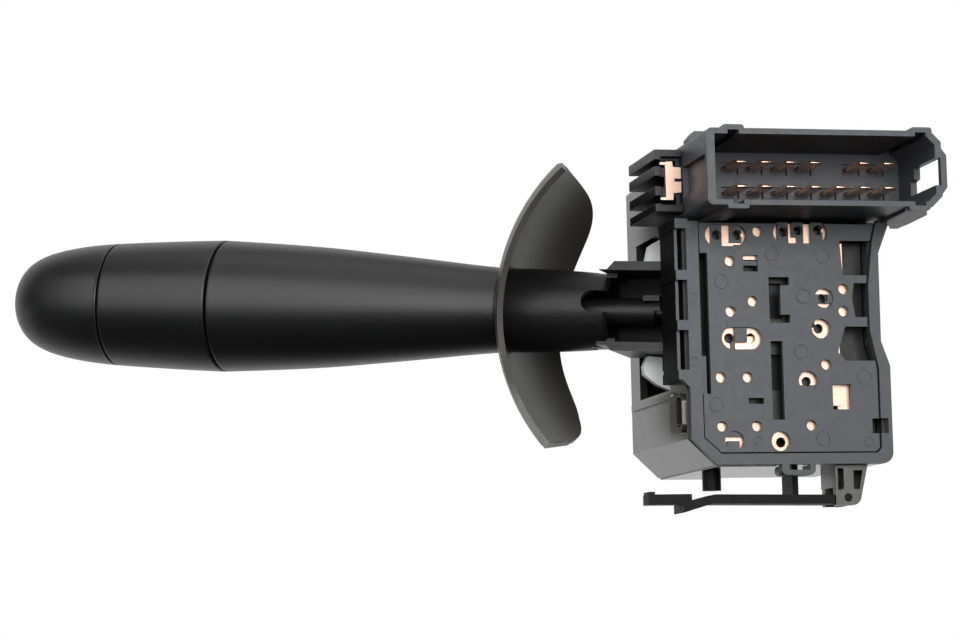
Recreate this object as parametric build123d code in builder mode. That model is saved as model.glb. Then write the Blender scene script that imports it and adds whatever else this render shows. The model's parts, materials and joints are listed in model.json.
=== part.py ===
from build123d import *
from math import cos, radians, sin
import os

# Combination stalk switch for a steering column, in millimetres.
# The part frame has its origin at the centre of the housing's flat back face: +X runs right along the
# terminal face, +Y runs from the terminal face to the back face, +Z is up. Sketches use the housing
# datum: "across" is measured from the terminal face's left border, "depth" back from that face, and
# "height" is Z.

# ---------------------------------------------------------------- driving dimensions
housing_depth = 43.5          # terminal face to back mounting face
face_centre = 17.0            # across position of the back face's centre
housing_left = -2.7
housing_right = 36.6
housing_bottom = -30.1
housing_top = 31.0
wall = 1.6                    # moulded wall of the housing
frame_thickness = 2.0         # border that holds the terminal plate
chamfer_top = -25.0           # height where the lower left chamfer starts
step_height = 17.4            # bottom of the part that stands behind the shroud

plate_recess = 0.4            # terminal plate sits a little below its border
plate_skin = 1.3
copper = 0.8                  # stamped strip
running_gap = 0.3             # between pieces on different bodies

shroud_left = -2.4
shroud_right = 44.3
shroud_bottom = 17.9
shroud_top = 32.6
shroud_rim = -16.0            # depth of the rim, in front of the terminal face
shroud_floor = 4.4
floor_thickness = 1.8

pin_pitch = 5.0
pin_width = 2.8
pin_first = 8.1               # across position of the first pin's centre
pin_tip = -4.0
upper_row = 28.3
lower_row = 23.5
upper_places = (0, 1, 2, 3, 5, 6)
lower_places = (0, 1, 2, 3, 4, 5, 6)

pivot_across = 6.6
pivot_depth = 20.0
pivot_height = 1.6
stalk_back_angle = 28.0       # stalk leans back from the terminal face
stalk_rise_angle = 3.9

neck_end_radius = 7.6
neck_radius = 8.6
neck_start = 18.6             # distances along the stalk are measured from the pivot
sleeve_start = 41.6
ring_start = 102.5
knob_start = 127.1
knob_tip = 150.2
grip_radius = 13.85
spigot_radius = 6.6
tube_radius = 2.8
rod_radius = 1.5
tube_start = 8.4
running_fit = 0.06
sleeve_bore = spigot_radius + running_fit

shield_radius = 42.0
shield_thickness = 1.2
shield_back_angle = 32.0

fork_top = 9.25               # heights square to the stalk, from its axis
fork_bottom = -8.7
fork_thickness = 1.8
fork_near = 9.3
fork_far = -6.8
fork_end_radius = 7.2
fork_reach = 18.7
bevel_start = 16.6
slot_rise = 1.4

trunnion_radius = 3.0
cam_radius = 17.2
cam_depth = 24.0
cam_thickness = 2.0
bearing_front = 5.6           # plate behind the terminals that carries the front trunnion
bearing_back = 7.2
slider_front = 3.4
slider_back = 5.3
finger_rise = 12.0            # slider finger above the pivot
track_radius = 21.7

latch_pin_across = 29.7
latch_pin_height = -36.5
latch_pin_radius = 0.8
bracket_left = 27.2           # left face of the bracket under the floor
peg_radius = 1.85
peg_length = 4.2
peg_depth = 15.0
peg_across = (5.65, 30.15)


def face_plane(depth):
    """Plane parallel to the terminal face: sketch x is across, y is height, normal towards the front."""
    return Plane(origin=(-face_centre, depth - housing_depth, 0), x_dir=(1, 0, 0), z_dir=(0, -1, 0))


def side_plane(across):
    """Plane across the housing: sketch x is depth, y is height, normal to the right."""
    return Plane(origin=(across - face_centre, -housing_depth, 0), x_dir=(0, 1, 0), z_dir=(1, 0, 0))


def level_plane(height):
    """Horizontal plane: sketch x is across, y is depth, normal up."""
    return Plane(origin=(-face_centre, -housing_depth, height), x_dir=(1, 0, 0), z_dir=(0, 0, 1))


def place(across, depth, height):
    """A point of the housing datum in the part frame."""
    return Vector(across - face_centre, depth - housing_depth, height)


back = radians(stalk_back_angle)
rise = radians(stalk_rise_angle)
pivot = place(pivot_across, pivot_depth, pivot_height)
along = Vector(-cos(back) * cos(rise), sin(back) * cos(rise), sin(rise))
near_side = Vector(-sin(back), -cos(back), 0)
upward = Vector(cos(back) * sin(rise), -sin(back) * sin(rise), cos(rise))
stalk_axis = Axis(pivot, along)
# Sketch x is the distance along the stalk, y is up, the normal points to the far side.
stalk_profile = Plane(origin=pivot, x_dir=along, z_dir=near_side * -1)


def fork_level(height):
    """Plane along the stalk: sketch x is the distance along it, y its near side or far side, normal up."""
    return Plane(origin=pivot + upward * height, x_dir=along, z_dir=upward)


def stalk_section(distance):
    """Plane square to the stalk: sketch x points to the near side, y up, normal towards the tip."""
    return Plane(origin=pivot + along * distance, x_dir=near_side, z_dir=along)


def finish(builder, label):
    """Labels a finished piece and writes its file."""
    builder.part.label = label
    export_step(builder.part, f"parts/{label}.step")


os.makedirs("parts", exist_ok=True)


# ---------------------------------------------------------------- main housing
flange_back = shroud_floor + floor_thickness
window_near = 13.5
window_far = 36.4
window_bottom = -14.5
window_top = 17.3
lower_outline = [
    (housing_left, step_height),
    (housing_left, chamfer_top),
    (2.6, housing_bottom),
    (36.4, housing_bottom),
    (38.4, -28.1),
    (38.4, -11.0),
    (housing_right, -6.2),
    (housing_right, step_height),
]
bush_radius = trunnion_radius + running_fit
bush_depth = 36.0

with BuildPart() as main_housing:
    with BuildSketch(face_plane(frame_thickness)):
        with BuildLine():
            Polyline(*lower_outline, close=True)
        make_face()
    extrude(amount=frame_thickness - housing_depth)
    with BuildSketch(face_plane(flange_back)):
        with Locations(((housing_left + housing_right) / 2, (step_height + housing_top) / 2)):
            Rectangle(housing_right - housing_left, housing_top - step_height)
    extrude(amount=flange_back - housing_depth)
    chamfer(main_housing.edges().filter_by(Axis.Y).group_by(Axis.Z)[-1], 2.0)
    # cavity, open to the front
    with BuildSketch(face_plane(frame_thickness)):
        with BuildLine():
            Polyline(*lower_outline, close=True)
        make_face()
        offset(amount=-wall, mode=Mode.REPLACE)
        with Locations(((housing_left + housing_right) / 2, 15.0)):
            Rectangle(housing_right - housing_left - 2 * wall, 6.0)
    extrude(amount=frame_thickness + wall - housing_depth, mode=Mode.SUBTRACT)
    with BuildSketch(face_plane(flange_back)):
        with Locations(((housing_left + housing_right) / 2, (12.0 + housing_top - wall) / 2)):
            Rectangle(housing_right - housing_left - 2 * wall, housing_top - wall - 12.0)
    extrude(amount=flange_back + wall - housing_depth, mode=Mode.SUBTRACT)
    # window for the stalk in the left wall
    with BuildSketch(side_plane(housing_left - 1)):
        with Locations(((window_near + window_far) / 2, (window_bottom + window_top) / 2)):
            Rectangle(window_far - window_near, window_top - window_bottom)
    extrude(amount=wall + 2, mode=Mode.SUBTRACT)
    # rail under the window and the slotted boss below it
    with BuildSketch(side_plane(housing_left)):
        with Locations((26.3, -15.8)):
            Rectangle(30.4, 1.2)
    extrude(amount=-0.6)
    with BuildSketch(side_plane(housing_left)):
        with Locations((6.6, -19.9)):
            RectangleRounded(9.0, 7.6, 1.8)
    extrude(amount=-0.9)
    with BuildSketch(side_plane(housing_left - 0.9)):
        with Locations((4.4, -19.6)):
            RectangleRounded(3.6, 5.6, 0.7)
    extrude(amount=2.0, mode=Mode.SUBTRACT)
    # step on the underside
    with BuildSketch(level_plane(housing_bottom)):
        with Locations((9.0, 22.8)):
            Rectangle(12.0, 41.4)
    extrude(amount=-0.3)
    # locating pegs, stop post and latch bracket under the floor
    with BuildSketch(level_plane(housing_bottom)):
        with Locations(*[(across, peg_depth) for across in peg_across]):
            Circle(peg_radius)
    extrude(amount=-peg_length)
    with BuildSketch(level_plane(housing_bottom)):
        with Locations((21.6, 14.4)):
            Rectangle(1.2, 6.8)
    extrude(amount=-6.6)
    with BuildSketch(face_plane(3.0)):
        with BuildLine():
            Polyline((bracket_left, -29.6), (bracket_left, -38.0), (30.6, -38.0))
            TangentArc((30.6, -38.0), (32.4, -36.4), tangent=(1, 0))
            Polyline((32.4, -36.4), (34.0, -29.6), (bracket_left, -29.6))
        make_face()
    extrude(amount=-8.5)
    with BuildSketch(face_plane(3.0)):
        with Locations((28.3, -32.9)):
            Rectangle(1.2, 4.2)
        with BuildLine():
            Polyline((30.9, -31.2), (32.8, -31.2), (32.1, -34.9), (30.9, -34.9), close=True)
        make_face()
    extrude(amount=-5.0, mode=Mode.SUBTRACT)
    # gap for the latch arm's tongue, open to the left and below
    with BuildSketch(face_plane(4.7)):
        with Locations((29.0, -36.8)):
            Rectangle(7.6, 4.6)
    extrude(amount=-5.1, mode=Mode.SUBTRACT)
    with BuildSketch(face_plane(2.0)):
        with Locations((latch_pin_across, latch_pin_height)):
            Circle(latch_pin_radius)
    extrude(amount=-12.0, mode=Mode.SUBTRACT)
    # rear bearing boss for the gimbal
    with BuildSketch(face_plane(bush_depth)):
        with Locations((pivot_across, pivot_height)):
            Circle(bush_radius + 2.2)
    extrude(amount=bush_depth + wall - housing_depth)
    with BuildSketch(face_plane(bush_depth)):
        with Locations((pivot_across, pivot_height)):
            Circle(bush_radius)
    extrude(amount=-4.5, mode=Mode.SUBTRACT)
    # seats for the inner plate along the side walls
    for across, width in ((-0.5, 1.4), (36.0, 2.4)):
        with BuildSketch(face_plane(bearing_back)):
            with Locations((across, -20.0)):
                Rectangle(width, 12.0)
        extrude(amount=-4.0)
finish(main_housing, "main_housing")


# ---------------------------------------------------------------- front frame with the left rack
frame_outline = [
    (-2.4, 17.2), (-2.4, chamfer_top), (2.6, -30.1), (38.2, -30.1), (38.2, -11.0),
    (36.5, -6.2), (36.6, 11.2), (38.7, 16.5), (38.7, 17.2),
]
frame_opening = [
    (0.05, 17.2), (0.05, -24.9), (3.5, -28.0), (35.0, -28.0), (35.9, -27.1), (35.9, -11.5),
    (34.3, -4.0), (34.3, 5.0), (35.4, 13.6), (36.3, 17.2),
]
rack_heights = (16.7, 6.65, -3.1, -12.7)
rack_out = -4.4
rack_back = 11.8
rack_side = 0.6               # thin wall that closes the rack on the left
rack_side_front = 1.5
border_marks = [(-1.5, 14.3), (-1.6, 2.2), (-1.5, -10.3)]

with BuildPart() as front_frame:
    with BuildSketch(face_plane(0)):
        with BuildLine():
            Polyline(*frame_outline, close=True)
        make_face()
        fillet(vertices().group_by(Axis.Y)[0].sort_by(Axis.X)[-1], 2.2)
        with BuildLine():
            Polyline(*frame_opening, close=True)
        make_face(mode=Mode.SUBTRACT)
    extrude(amount=-frame_thickness)
    # round marks on the left border
    with BuildSketch(face_plane(0)):
        with Locations(*border_marks):
            Circle(0.95)
            Circle(0.83, mode=Mode.SUBTRACT)
    extrude(amount=-0.15, mode=Mode.SUBTRACT)
    # ribs of the left rack and the wall behind them
    with BuildSketch(face_plane(0)):
        with Locations(*[((rack_out + housing_left) / 2 - 0.1, height) for height in rack_heights]):
            Rectangle(housing_left - rack_out + 0.2, 1.9)
    extrude(amount=-rack_back)
    with BuildSketch(face_plane(rack_back - 1.4)):
        with Locations(((rack_out + housing_left) / 2, (rack_heights[0] + rack_heights[-1]) / 2)):
            Rectangle(housing_left - rack_out, rack_heights[0] - rack_heights[-1] + 1.9)
    extrude(amount=-1.4)
    with BuildSketch(face_plane(rack_side_front)):
        with Locations((rack_out + rack_side / 2, (rack_heights[0] + rack_heights[-1]) / 2)):
            Rectangle(rack_side, rack_heights[0] - rack_heights[-1])
    extrude(amount=rack_side_front - rack_back)
    with BuildSketch(face_plane(0)):
        with Locations(*[((rack_out - 2.0) / 2, height) for height in rack_heights]):
            Rectangle(-2.0 - rack_out, 1.9)
        with BuildLine():
            Polyline((rack_out, -13.0), (-2.4, -15.2), (-1.2, -14.8), (-2.0, -12.0), close=True)
        make_face()
    extrude(amount=-frame_thickness)
    # snap loop under the lower border
    with BuildSketch(face_plane(0)):
        with Locations((18.9, -30.6)):
            RectangleRounded(6.8, 3.2, 1.2)
        with Locations((19.1, -30.6)):
            RectangleRounded(4.2, 1.2, 0.2, mode=Mode.SUBTRACT)
    extrude(amount=-frame_thickness)
    with BuildSketch(face_plane(frame_thickness)):
        with Locations((18.9, -31.2)):
            RectangleRounded(6.8, 2.0, 0.9)
        with Locations((18.9, -29.7)):
            Rectangle(7.0, 1.1, mode=Mode.SUBTRACT)
        with Locations((19.1, -30.6)):
            Rectangle(4.2, 1.2, mode=Mode.SUBTRACT)
    extrude(amount=-3.0)
    # notch for the plate's snap on the right
    with BuildSketch(face_plane(-1)):
        with Locations((36.4, -22.75)):
            Rectangle(2.0, 2.9)
    extrude(amount=-4.0, mode=Mode.SUBTRACT)
finish(front_frame, "front_frame")


# ---------------------------------------------------------------- terminal plate
plate_back = plate_recess + plate_skin
post_bores = [
    (4.0, 14.6), (8.2, 14.6), (17.6, 15.3), (20.65, 15.6), (24.7, 15.7), (25.2, 2.3),
    (24.3, -3.6), (21.5, -14.0), (6.15, -5.5), (10.5, -5.5), (15.95, -25.8),
]
post_bore_radius = 0.95
probe_holes = [
    (12.2, 15.3), (6.4, 9.5), (10.8, 1.6), (6.3, -0.4), (29.3, 4.1), (29.2, -0.3), (25.3, -10.75),
    (3.9, -13.2), (9.3, -13.2), (3.9, -22.7), (10.9, -22.7), (21.9, -22.6),
]
ring_holes = [(25.3, 2.3), (24.5, -3.7), (21.5, -13.9), (6.3, -25.5), (15.6, -25.6)]
long_holes = [(5.75, 14.5, 8.3, 4.2), (20.9, 15.1, 11.0, 4.1), (8.4, -5.6, 8.1, 4.3)]
slots = [
    (1.0, -2.7, 1.7, 27.4), (15.3, -13.8, 2.4, 15.3), (15.25, 1.9, 2.3, 8.9), (17.0, 5.55, 2.5, 1.6),
    (17.0, -1.8, 2.5, 1.6), (10.55, 9.05, 2.95, 3.25), (10.85, -17.8, 3.1, 1.15), (28.35, -17.05, 3.9, 4.9),
    (35.2, -22.75, 1.9, 2.9),
]
# Sunken webs that cross the holes, by their corners.
webs = [
    (2.9, 12.4, 5.05, 16.7), (6.75, 13.2, 9.1, 16.7), (16.4, 12.9, 18.6, 17.2), (19.3, 14.35, 21.65, 17.2),
    (20.4, 13.0, 21.65, 14.4), (23.1, 12.9, 25.6, 17.2), (7.05, -6.35, 9.55, -3.4), (6.3, -7.8, 7.1, -5.5),
    (23.1, 1.3, 27.5, 3.1), (19.3, -16.1, 23.7, -14.7), (4.9, -27.6, 7.4, -25.5), (4.1, -24.7, 8.5, -23.6),
    (9.0, 8.65, 12.1, 9.6), (0.1, -16.5, 1.2, -9.0),
]
web_recess = 0.5
ejector_marks = [
    (14.9, 10.9), (25.2, 10.5), (4.5, 5.4), (21.0, 2.6), (20.2, -8.3), (32.9, -13.3), (2.8, -18.6),
    (24.1, -25.2),
]
small_marks = [(11.0, -25.6), (33.4, -25.9)]

with BuildPart() as terminal_plate:
    with BuildSketch(face_plane(plate_recess)):
        with BuildLine():
            Polyline(*frame_opening, close=True)
        make_face()
        offset(amount=-0.3, kind=Kind.INTERSECTION, mode=Mode.REPLACE)
        with Locations(*probe_holes):
            Circle(1.0, mode=Mode.SUBTRACT)
        with Locations(*ring_holes):
            Circle(1.9, mode=Mode.SUBTRACT)
        for across, height, length, width in long_holes:
            with Locations((across, height)):
                SlotOverall(length, width, mode=Mode.SUBTRACT)
        for across, height, width, tall in slots:
            with Locations((across, height)):
                Rectangle(width, tall, mode=Mode.SUBTRACT)
        # three openings on the right, open to the border
        with BuildLine():
            Polyline((28.8, 13.6), (36.5, 13.6), (36.5, 6.8), (29.3, 6.8), close=True)
        make_face(mode=Mode.SUBTRACT)
        with BuildLine():
            Polyline((31.5, 5.25), (36.5, 5.25), (36.5, -1.45), (31.6, -1.45), (31.0, 2.0), close=True)
        make_face(mode=Mode.SUBTRACT)
        with BuildLine():
            Polyline((29.4, -3.3), (36.5, -3.3), (36.5, -10.0), (29.3, -10.0), (27.8, -8.3), close=True)
        make_face(mode=Mode.SUBTRACT)
    extrude(amount=-plate_skin)
    with BuildSketch(face_plane(plate_recess)):
        with Locations(*ejector_marks):
            Circle(1.45)
            Circle(1.3, mode=Mode.SUBTRACT)
        with Locations(*small_marks):
            Circle(0.95)
            Circle(0.83, mode=Mode.SUBTRACT)
    extrude(amount=-0.15, mode=Mode.SUBTRACT)
    # sunken webs across the holes, bored where a post passes
    with BuildSketch(face_plane(plate_recess + web_recess)):
        for left, low, right, high in webs:
            with Locations(((left + right) / 2, (low + high) / 2)):
                Rectangle(right - left, high - low)
    extrude(amount=web_recess - plate_skin)
    with BuildSketch(face_plane(plate_recess)):
        with Locations(*post_bores):
            Circle(post_bore_radius)
    extrude(amount=-plate_skin, mode=Mode.SUBTRACT)
finish(terminal_plate, "terminal_plate")


# ---------------------------------------------------------------- stamped tracks behind the plate
tracks = {
    "track_upper_left": [(8.0, 14.75, 12.6, 3.9), (6.4, 10.6, 2.4, 5.0), (9.0, 10.35, 7.0, 0.9)],
    "track_right": [
        (20.9, 15.0, 12.8, 4.0), (25.3, 3.9, 3.4, 19.0), (28.7, 1.8, 3.6, 6.6), (28.6, 9.0, 2.2, 8.4),
        (26.3, -8.2, 4.6, 7.8), (24.9, -5.2, 4.6, 3.6),
    ],
    "track_centre": [
        (10.8, 0.0, 2.8, 6.8), (6.3, -1.3, 2.8, 4.6), (8.25, -5.65, 9.2, 5.0), (4.6, -11.1, 2.4, 6.8),
        (6.6, -13.2, 7.8, 2.6),
    ],
    "track_lower": [
        (11.6, -23.0, 19.4, 2.2), (21.9, -22.7, 3.2, 2.4), (15.4, -25.5, 4.4, 4.2), (6.3, -25.6, 4.0, 3.6),
    ],
    "track_corner": [(21.4, -14.1, 4.2, 4.4), (25.5, -16.6, 5.9, 4.2)],
}
for label, pads in tracks.items():
    with BuildPart() as track:
        with BuildSketch(face_plane(plate_back)):
            for across, height, width, tall in pads:
                with Locations((across, height)):
                    Rectangle(width, tall)
            with Locations(*post_bores):
                Circle(post_bore_radius, mode=Mode.SUBTRACT)
        extrude(amount=-copper)
        if label == "track_corner":
            # lower tongue behind the rectangular hole
            with BuildSketch(face_plane(plate_back + copper - 0.2)):
                with Locations((29.2, -16.9)):
                    Rectangle(2.5, 4.9)
            extrude(amount=-0.7)
    finish(track, label)


# ---------------------------------------------------------------- bearing plate
with BuildPart() as bearing_plate:
    with BuildSketch(face_plane(bearing_front)):
        with BuildLine():
            Polyline(*lower_outline, close=True)
        make_face()
        offset(amount=-wall - 0.05, mode=Mode.REPLACE)
        with Locations((26.0, 14.0)):
            Rectangle(5.0, 4.0, mode=Mode.SUBTRACT)
    extrude(amount=bearing_front - bearing_back)
    with BuildSketch(face_plane(bearing_back)):
        with Locations((pivot_across, pivot_height)):
            Circle(5.4)
    extrude(amount=-1.4)
    with BuildSketch(face_plane(bearing_front)):
        with Locations((pivot_across, pivot_height)):
            Circle(trunnion_radius + running_fit)
        with Locations((pivot_across, pivot_height + finger_rise)):
            SlotOverall(8.6, 3.4)
    extrude(amount=-4.0, mode=Mode.SUBTRACT)
finish(bearing_plate, "bearing_plate")


# ---------------------------------------------------------------- contact slider and its bridges
bridges = [(6.4, 9.5), (25.3, 7.6), (10.8, -5.65), (21.6, -22.4)]
with BuildPart() as contact_slider:
    with BuildSketch(face_plane(slider_front)):
        with Locations((15.6, -4.0)):
            RectangleRounded(23.6, 40.0, 1.5)
        with Locations((pivot_across, pivot_height + finger_rise)):
            Rectangle(3.0, 4.0, mode=Mode.SUBTRACT)
        with Locations((14.4, 2.0), (14.4, -12.0)):
            RectangleRounded(7.0, 7.0, 0.8, mode=Mode.SUBTRACT)
    extrude(amount=slider_front - slider_back)
finish(contact_slider, "contact_slider")

with BuildPart() as slider_bridges:
    with BuildSketch(face_plane(slider_front - 0.5)):
        with Locations(*bridges):
            SlotOverall(4.4, 1.4)
    extrude(amount=-0.5)
finish(slider_bridges, "slider_bridges")


# ---------------------------------------------------------------- connector shroud
cavity_left = -0.8
cavity_right = 43.0
cavity_bottom = 18.9
cavity_top = 31.5
overhang_back = 8.5

with BuildPart() as connector_shroud:
    with BuildSketch(face_plane(shroud_rim)):
        with Locations(((shroud_left + shroud_right) / 2, (shroud_bottom + shroud_top) / 2)):
            Rectangle(shroud_right - shroud_left, shroud_top - shroud_bottom)
        chamfer(vertices().group_by(Axis.X)[-1], 2.1)
        fillet(vertices().group_by(Axis.X)[0], 1.1)
    extrude(amount=shroud_rim - flange_back)
    # coding ribs along the outside
    with BuildSketch(face_plane(shroud_rim)):
        with Locations((2.9, shroud_top), (40.4, shroud_top), (3.6, shroud_bottom), (39.6, shroud_bottom)):
            RectangleRounded(4.3, 1.4, 0.6)
    extrude(amount=shroud_rim - shroud_floor)
    with BuildSketch(face_plane(shroud_rim)):
        with Locations(((cavity_left + cavity_right) / 2, (cavity_bottom + cavity_top) / 2)):
            Rectangle(cavity_right - cavity_left, cavity_top - cavity_bottom)
        chamfer(vertices().group_by(Axis.X)[-1], 1.6)
        with Locations((2.9, cavity_top), (40.2, cavity_top), (3.6, cavity_bottom), (39.8, cavity_bottom)):
            Rectangle(2.2, 1.6)
    extrude(amount=shroud_rim - shroud_floor, mode=Mode.SUBTRACT)
    # overhang behind the right end, clear of the housing
    with BuildSketch(face_plane(flange_back)):
        with Locations(((housing_right + 0.1 + shroud_right) / 2, 25.2)):
            Rectangle(shroud_right - housing_right - 0.1, 12.0)
    extrude(amount=flange_back - overhang_back)
    with BuildSketch(face_plane(flange_back - 0.1)):
        with Locations((39.8, 25.4)):
            Rectangle(6.3, 9.8)
    extrude(amount=-1.6, mode=Mode.SUBTRACT)
    with BuildSketch(level_plane(shroud_bottom + 0.4)):
        with BuildLine():
            Polyline((37.2, -14.6), (40.6, -14.6), (43.4, -9.6), (43.9, 1.0), (43.9, overhang_back))
            Polyline((43.9, overhang_back), (42.2, overhang_back), (38.9, -0.2), (37.2, -14.6))
        make_face()
    extrude(amount=-1.0)
    # latch window in the right wall, bridged at the rim
    with BuildSketch(side_plane(cavity_right - 0.2)):
        with BuildLine():
            Polyline(
                (shroud_rim - 0.1, 22.1), (-2.3, 22.1), (-2.3, 24.9), (-4.3, 25.2), (-4.3, 27.4),
                (shroud_rim - 0.1, 27.4), close=True,
            )
        make_face()
    extrude(amount=3.0, mode=Mode.SUBTRACT)
    with BuildSketch(face_plane(shroud_rim)):
        with BuildLine():
            Polyline(
                (43.2, 29.6), (44.3, 29.3), (45.3, 27.9), (45.3, 21.7), (44.3, 20.4), (43.2, 20.1),
                (43.2, 21.9), (44.1, 22.1), (44.1, 27.4), (43.2, 27.6), close=True,
            )
        make_face()
    extrude(amount=-1.4)
    # recess outside the left wall
    with BuildSketch(side_plane(shroud_left)):
        with Locations((-6.9, 24.8)):
            Rectangle(15.6, 6.0)
    extrude(amount=1.1, mode=Mode.SUBTRACT)
    # lug behind the upper left corner
    with BuildSketch(face_plane(shroud_floor)):
        with BuildLine():
            Polyline((-0.1, 32.2), (-0.1, 34.2), (1.2, 35.7), (3.3, 35.7), (3.3, 32.2), close=True)
        make_face()
    extrude(amount=-3.4)
    # round marks between the rows
    with BuildSketch(face_plane(shroud_floor)):
        with Locations(*[(across, (upper_row + lower_row) / 2 + 0.2) for across in (9.6, 24.6, 36.2)]):
            Circle(0.7)
            Circle(0.58, mode=Mode.SUBTRACT)
    extrude(amount=-0.15, mode=Mode.SUBTRACT)
    # pockets and seats of the pins
    upper_seats = [(pin_first + pin_pitch * place_index, upper_row) for place_index in upper_places]
    lower_seats = [(pin_first + pin_pitch * place_index, lower_row) for place_index in lower_places]
    with BuildSketch(face_plane(shroud_floor)):
        with Locations(*upper_seats, *lower_seats):
            Rectangle(pin_width + 0.8, 2.4)
    extrude(amount=-0.8, mode=Mode.SUBTRACT)
    with BuildSketch(face_plane(shroud_floor)):
        with Locations(*upper_seats, *lower_seats):
            Rectangle(pin_width, copper)
    extrude(amount=-4.2, mode=Mode.SUBTRACT)
finish(connector_shroud, "connector_shroud")


# ---------------------------------------------------------------- blade pins
for label, seats in (("upper_pins", upper_seats), ("lower_pins", lower_seats)):
    with BuildPart() as pins:
        with BuildSketch(face_plane(pin_tip)):
            with Locations(*seats):
                Rectangle(pin_width, copper)
        extrude(amount=pin_tip - flange_back - 1.2)
        chamfer(pins.edges().filter_by(Axis.X).group_by(Axis.Y)[0], 0.25)
        # feet that turn down behind the floor
        with BuildSketch(face_plane(flange_back + 0.4)):
            with Locations(*[(across, height - 1.2) for across, height in seats]):
                Rectangle(pin_width, 2.0)
        extrude(amount=-copper)
    finish(pins, label)


# ---------------------------------------------------------------- side comb and its contact
comb_left = -8.2
comb_front = 0.3
comb_back = 20.0
fins = ((30.2, 2.0), (26.95, 1.9), (23.05, 1.9), (19.8, 1.6))
with BuildPart() as side_comb:
    with BuildSketch(face_plane(comb_front)):
        with Locations((-3.15, 25.1)):
            Rectangle(0.9, 12.2)
        for height, thickness in fins:
            with Locations(((comb_left + housing_left) / 2, height)):
                Rectangle(housing_left - comb_left, thickness)
    extrude(amount=comb_front - comb_back)
    with BuildSketch(face_plane(comb_front)):
        with Locations((-4.8, 25.1)):
            Rectangle(4.2, 9.4)
    extrude(amount=-1.4, mode=Mode.SUBTRACT)
finish(side_comb, "side_comb")

with BuildPart() as side_contact:
    with BuildSketch(face_plane(comb_front + 0.6)):
        with BuildLine():
            Polyline(
                (-5.85, 21.4), (-5.85, 28.9), (-4.5, 29.0), (-4.3, 27.9), (-2.75, 27.8), (-2.75, 25.6),
                (-4.1, 25.6), (-4.1, 25.0), (-2.75, 25.0), (-2.75, 22.9), (-4.3, 22.75), (-4.4, 21.4),
                close=True,
            )
        make_face()
    extrude(amount=-copper)
    for height in (21.7, 28.6):
        with BuildSketch(face_plane(comb_front + 0.9)):
            with Locations((-6.3, height)):
                Rectangle(1.1, 0.5)
        extrude(amount=-0.5)
finish(side_contact, "side_contact")


# ---------------------------------------------------------------- gimbal
block_top = fork_top - fork_thickness - running_gap
block_bottom = fork_bottom + fork_thickness + running_gap
block_radius = 6.5
flange_front = 9.0
tail_front = 17.5
tail_end = 21.0
plunger_radius = 1.6
plunger_depth = (tail_front + cam_depth) / 2
fork_pin_radius = 1.8
fork_pin_seat = 4.5

with BuildPart() as gimbal_block:
    with BuildSketch(fork_level(block_bottom)):
        Circle(block_radius)
    extrude(amount=block_top - block_bottom)
    chamfer(gimbal_block.edges().filter_by(GeomType.CIRCLE), 0.5)
    with BuildSketch(face_plane(bearing_front + 0.3)):
        with Locations((pivot_across, pivot_height)):
            Circle(trunnion_radius)
    extrude(amount=bearing_front - bush_depth - 3.7)
    # front arm and the finger that drives the slider
    with BuildSketch(face_plane(flange_front)):
        with Locations((pivot_across, pivot_height)):
            Circle(5.0)
        with Locations((pivot_across, pivot_height + 6.6)):
            RectangleRounded(4.4, 15.0, 1.2)
    extrude(amount=-2.0)
    with BuildSketch(face_plane(flange_front)):
        with Locations((pivot_across, pivot_height)):
            Circle(4.4)
    extrude(amount=-6.0)
    with BuildSketch(face_plane(slider_front + 0.2)):
        with Locations((pivot_across, pivot_height + finger_rise)):
            Circle(1.2)
    extrude(amount=slider_front - flange_front - 0.2)
    # tail with the plunger bore, seat of the cam on its back
    with BuildSketch(face_plane(tail_front)):
        with Locations((pivot_across + tail_end / 2 - 2.0, pivot_height)):
            Rectangle(tail_end - 8.0, 7.0)
    extrude(amount=tail_front - cam_depth)
    with BuildSketch(side_plane(13.6)):
        with Locations((plunger_depth, pivot_height)):
            Circle(plunger_radius + running_fit)
    extrude(amount=12.0, mode=Mode.SUBTRACT)
    # seats of the fork pins
    with BuildSketch(fork_level(block_top)):
        Circle(fork_pin_radius)
    extrude(amount=-fork_pin_seat, mode=Mode.SUBTRACT)
    with BuildSketch(fork_level(block_bottom)):
        Circle(fork_pin_radius)
    extrude(amount=fork_pin_seat, mode=Mode.SUBTRACT)
finish(gimbal_block, "gimbal_block")

with BuildPart() as fork_pins:
    with BuildSketch(fork_level(fork_top)):
        Circle(fork_pin_radius)
    extrude(amount=block_top - fork_top - fork_pin_seat)
    with BuildSketch(fork_level(fork_bottom)):
        Circle(fork_pin_radius)
    extrude(amount=block_bottom - fork_bottom + fork_pin_seat)
finish(fork_pins, "fork_pins")

with BuildPart() as nylon_cam:
    with BuildSketch(face_plane(cam_depth)):
        with Locations((pivot_across, pivot_height)):
            Circle(cam_radius)
        with BuildLine():
            Polyline((-12.0, 12.4), (-12.0, -6.0), (12.5, -7.9), (15.6, -7.9), (15.6, 12.4), close=True)
        make_face(mode=Mode.SUBTRACT)
        with BuildLine():
            Polyline((-14.0, 12.0), (-4.2, 12.0), (-2.4, 19.4), (-14.0, 19.4), close=True)
        make_face(mode=Mode.SUBTRACT)
        with BuildLine():
            Polyline(
                (-14.0, -4.0), (-3.2, -5.6), (-4.4, -6.9), (-5.2, -8.7), (-5.0, -10.3), (-2.4, -12.4),
                (1.8, -14.2), (1.8, -18.0), (-14.0, -18.0), close=True,
            )
        make_face(mode=Mode.SUBTRACT)
        with Locations((-0.4, -8.2)):
            RectangleRounded(1.6, 3.4, 0.5, mode=Mode.SUBTRACT)
    extrude(amount=-cam_thickness)
finish(nylon_cam, "nylon_cam")


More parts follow.
